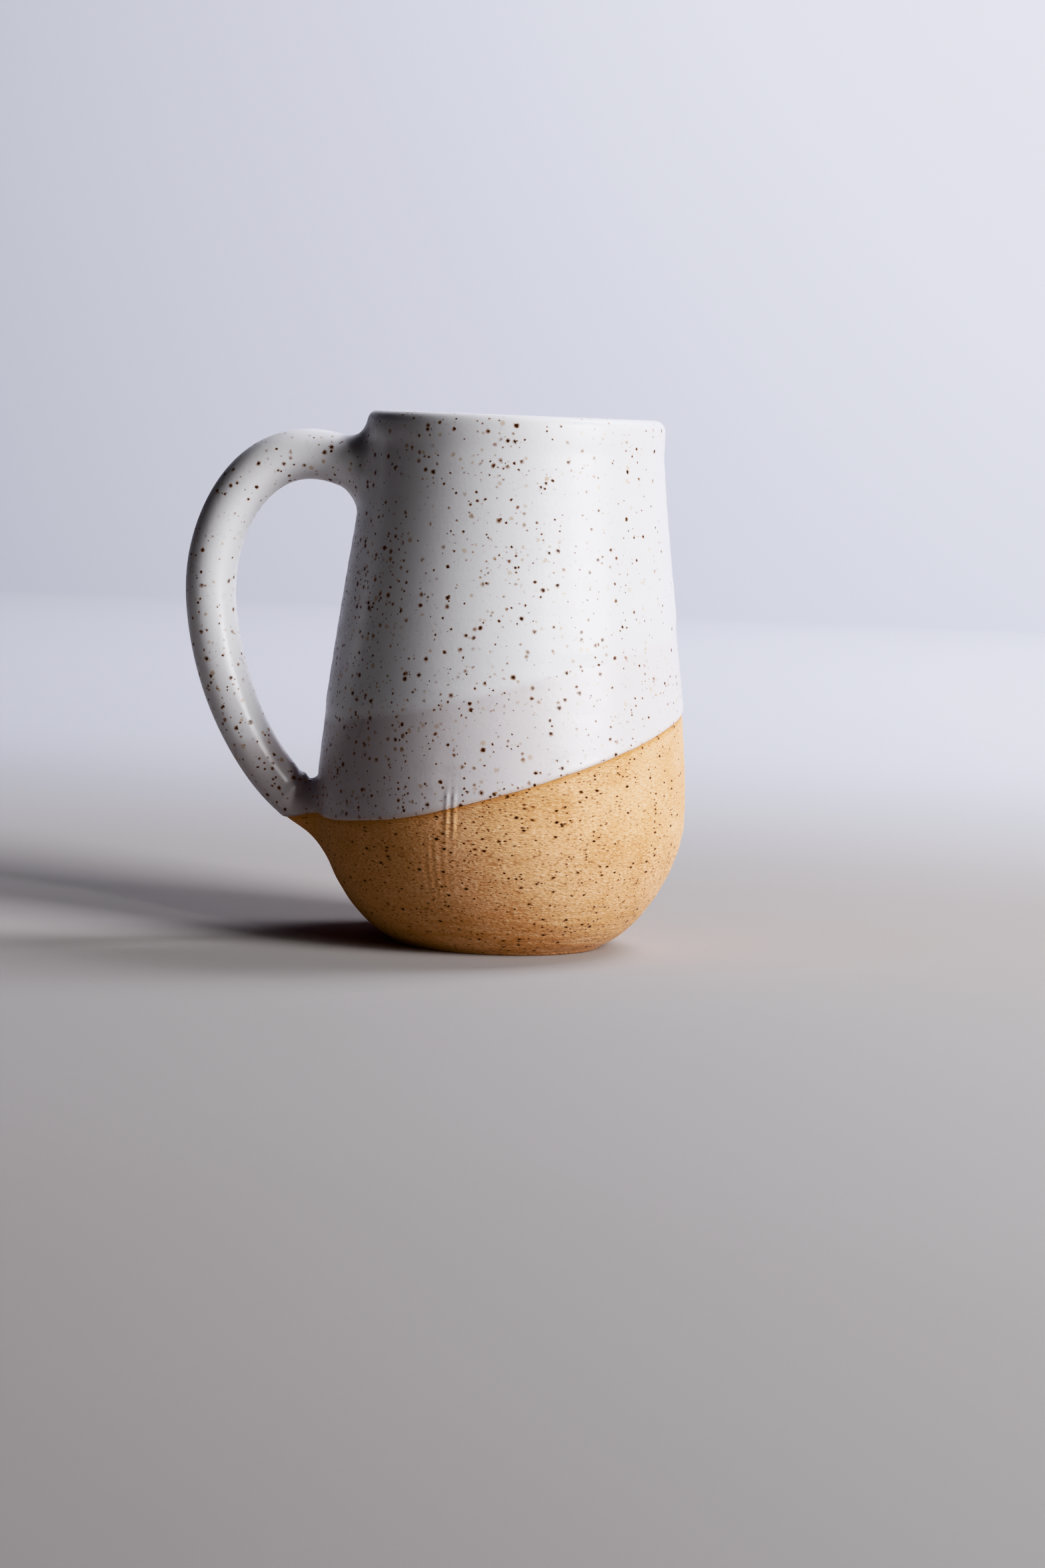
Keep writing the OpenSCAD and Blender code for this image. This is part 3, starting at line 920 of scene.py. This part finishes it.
# Each layer: the cell one speck has to itself, its least and greatest radius, the share of cells used.
GLAZE_SPECKS = (
    (1.5 * MM, 0.20 * MM, 0.45 * MM, 0.58),
    (1.2 * MM, 0.12 * MM, 0.27 * MM, 0.42),
    (0.9 * MM, 0.06 * MM, 0.14 * MM, 0.22),
)
GLAZE_IOR = 1.6


def white_glaze(name, crowd=1.0, outside=True):
    """Satin white glaze with iron specks. crowd is how many specks there are."""
    material, tree, shader = new_material(name)
    place = put(tree, "TexCoord", out=3)
    cloud = grain(tree, place, 14 * MM, detail=3)
    colour = tint(tree, ramp(tree, cloud, 0.3, 0.7, 0.0, 0.16), WHITE, THIN_WHITE)
    density = ramp(tree, grain(tree, place, 22 * MM), 0.32, 0.68, 0.55, 1.3)
    if outside:
        past = above_edge(tree, place, second_edge)
        past = calc(tree, "ADD", past, ramp(tree, grain(tree, place, 9 * MM), 0, 1, -0.9 * MM, 0.9 * MM))
        twice = ramp(tree, past, -0.6 * MM, 2.2 * MM)
        colour = tint(tree, calc(tree, "SUBTRACT", 1.0, twice), colour, THIN_WHITE)
        fringe = ramp(tree, above_edge(tree, place, first_edge), 1.4 * MM, 0.0, 0.0, 0.35)
        colour = tint(tree, fringe, colour, WARM)
        high = put(tree, "SeparateXYZ", out=2, Vector=place)
        density = calc(tree, "MULTIPLY", density, ramp(tree, high, 0.085, 0.125, 1.0, 0.6))
    density = calc(tree, "MULTIPLY", density, crowd)
    dents = 0.0
    for cell, small, large, share in GLAZE_SPECKS:
        core, halo, kind = specks(tree, place, cell, small, large, calc(tree, "MULTIPLY", density, share))
        dark = ramp(tree, kind, 0.12, 0.42)
        stain = tint(tree, dark, OCHRE, RUST)
        colour = tint(tree, calc(tree, "MULTIPLY", halo, ramp(tree, kind, 0, 1, 0.45, 0.85)), colour, stain)
        colour = tint(tree, calc(tree, "MULTIPLY", core, dark), colour, IRON)
        dents = calc(tree, "ADD", dents, calc(tree, "MULTIPLY", core, dark))
    tree.links.new(colour, shader.inputs["Base Color"])
    skin = grain(tree, place, 0.9 * MM, detail=3)
    height = calc(tree, "SUBTRACT", skin, calc(tree, "MULTIPLY", dents, 0.5))
    relief = put(tree, "Bump", Strength=0.35, Distance=0.10 * MM, Height=height)
    tree.links.new(relief, shader.inputs["Normal"])
    satin = ramp(tree, grain(tree, place, 5 * MM), 0.3, 0.7, 0.27, 0.38)
    tree.links.new(satin, shader.inputs["Roughness"])
    shader.inputs["IOR"].default_value = GLAZE_IOR
    return material


print("white glaze has", len(GLAZE_SPECKS), "layers of specks")

# %% [markdown]
# ## Bare clay
# Below the glaze the clay is tan, dry and rough. Trimming on the wheel dragged its grog round the
# pot, so light and dark streaks lie level, a third of a millimetre high and a millimetre long.
# Squeezing the noise along Z draws them, without any need to unwrap the surface. Near the foot the
# trimming tool left level rings, and just under the glaze a thin line of clay is more orange, where
# the glaze fumed it in the kiln. The dark grains that make the glaze's freckles lie here as pits.

# %% Bare clay
CLAY, PALE_GROG, DARK_DRAG = (0.76, 0.48, 0.295, 1), (0.93, 0.74, 0.54, 1), (0.42, 0.205, 0.095, 1)
FUMED, PALE_BIT = (0.50, 0.24, 0.085, 1), (0.95, 0.84, 0.66, 1)
BURNT, ORE = (0.24, 0.10, 0.04, 1), (0.022, 0.010, 0.006, 1)
CLAY_SPECKS = (
    (1.5 * MM, 0.20 * MM, 0.42 * MM, 0.50),
    (1.1 * MM, 0.13 * MM, 0.25 * MM, 0.50),
    (0.8 * MM, 0.07 * MM, 0.14 * MM, 0.40),
)
CLAY_SPECULAR, CLAY_SHEEN = 0.3, 0.12


def bare_clay(name, rough=1.0):
    """Unglazed stoneware. rough is how strong the drag marks are."""
    material, tree, shader = new_material(name)
    place = put(tree, "TexCoord", out=3)
    cloud = ramp(tree, grain(tree, place, 11 * MM, detail=4), 0.35, 0.7, 0.0, 0.35)
    colour = tint(tree, cloud, CLAY, FUMED)
    drag = grain(tree, place, 0.9 * MM, detail=4, stretch=(1, 1, 2.6))
    colour = tint(tree, ramp(tree, drag, 0.50, 0.70, 0.0, 0.6 * rough), colour, DARK_DRAG)
    colour = tint(tree, ramp(tree, drag, 0.46, 0.30, 0.0, 0.5 * rough), colour, PALE_GROG)
    bits, _, _ = specks(tree, place, 1.2 * MM, 0.10 * MM, 0.25 * MM, 0.35, stretch=(1, 1, 2.0))
    colour = tint(tree, calc(tree, "MULTIPLY", bits, 0.8), colour, PALE_BIT)
    level = put(tree, "SeparateXYZ", out=2, Vector=place)
    trimmed = ramp(tree, level, 0.018, 0.004)
    rings = grain(tree, place, 11 * MM, detail=3, stretch=(1, 1, 9))
    shaded = ramp(tree, rings, 0.45, 0.65, 0.1, 0.5)
    colour = tint(tree, calc(tree, "MULTIPLY", trimmed, shaded), colour, FUMED)
    fringe = ramp(tree, above_edge(tree, place, first_edge), -1.7 * MM, -0.1 * MM, 0.0, 0.6)
    colour = tint(tree, fringe, colour, FUMED)
    pits = 0.0
    for cell, small, large, share in CLAY_SPECKS:
        core, halo, _ = specks(tree, place, cell, small, large, share, stretch=(0.85, 0.85, 1.5))
        colour = tint(tree, calc(tree, "MULTIPLY", halo, 0.5), colour, BURNT)
        colour = tint(tree, calc(tree, "MULTIPLY", core, 0.95), colour, ORE)
        pits = calc(tree, "ADD", pits, core)
    tree.links.new(colour, shader.inputs["Base Color"])
    height = calc(tree, "ADD", calc(tree, "MULTIPLY", drag, -1.6), calc(tree, "MULTIPLY", bits, 0.5))
    height = calc(tree, "SUBTRACT", height, calc(tree, "MULTIPLY", pits, 0.4))
    height = calc(tree, "ADD", height, calc(tree, "MULTIPLY", trimmed, calc(tree, "MULTIPLY", rings, 3.0)))
    relief = put(tree, "Bump", Strength=0.8 * rough, Distance=0.18 * MM, Height=height)
    tree.links.new(relief, shader.inputs["Normal"])
    tree.links.new(ramp(tree, drag, 0.3, 0.7, 0.72, 0.92), shader.inputs["Roughness"])
    shader.inputs["Specular IOR Level"].default_value = CLAY_SPECULAR
    shader.inputs["Sheen Weight"].default_value = CLAY_SHEEN
    return material


print("bare clay has", len(CLAY_SPECKS), "layers of dark grains")

# %% [markdown]
# ## The studio's paint
# The floor is a plain warm grey, and the backdrop a paler and cooler one, so that the pale glaze
# stands out from it. The colour changes slowly with the distance back, and a faint mottle keeps the
# surface from looking like paper.

# %% Studio paint
FLOOR_PAINT, BACKDROP_PAINT, MOTTLE = (0.37, 0.345, 0.33, 1), (0.49, 0.49, 0.528, 1), (0.52, 0.52, 0.56, 1)
paint, paint_tree, paint_shader = new_material("studio_paint")
spot = put(paint_tree, "TexCoord", out=3)
mottle = ramp(paint_tree, grain(paint_tree, spot, 0.5), 0.3, 0.7, 0.0, 0.15)
far = ramp(paint_tree, put(paint_tree, "SeparateXYZ", out=1, Vector=spot), 0.05, 0.6)
paint_colour = tint(paint_tree, far, FLOOR_PAINT, BACKDROP_PAINT)
paint_colour = tint(paint_tree, mottle, paint_colour, MOTTLE)
paint_tree.links.new(paint_colour, paint_shader.inputs["Base Color"])
paint_shader.inputs["Roughness"].default_value = 0.8
studio.data.materials.append(paint)
print("painted", studio.name)

# %% [markdown]
# ## Putting it together
# Each finished mesh rides on the CAD body and stands for its CAD node. The mug is one rigid
# object, so everything rides on the root.

# %% Finish, ride and replace
PIECES = (
    (thrown_body, "thrown_body", "bare_clay", bare_clay("trimmed_clay")),
    (rope, "pulled_handle", "handle_clay", bare_clay("pulled_clay", 0.6)),
    (weld, "upper_handle_weld", "joint_clay", bare_clay("upper_joint_clay", 0.6)),
    (coil, "lower_handle_coil", "joint_clay", bare_clay("lower_joint_clay", 0.8)),
    (liner, "liner_glaze", "liner_glaze", white_glaze("liner_white", 0.9, outside=False)),
    (first_dip, "first_dip_glaze", "thin_glaze", white_glaze("first_dip_white")),
    (second_dip, "second_dip_glaze", "double_glaze", white_glaze("second_dip_white")),
    (handle_coat, "handle_glaze", "handle_glaze", white_glaze("handle_white", 0.8)),
)
for piece, node, slot, material in PIECES:
    piece.data.materials.clear()
    piece.data.materials.append(material)
    only(piece)
    bpy.ops.object.shade_smooth()
    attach(piece, "root")
    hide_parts(node)
    print(piece.name, "stands for", node)
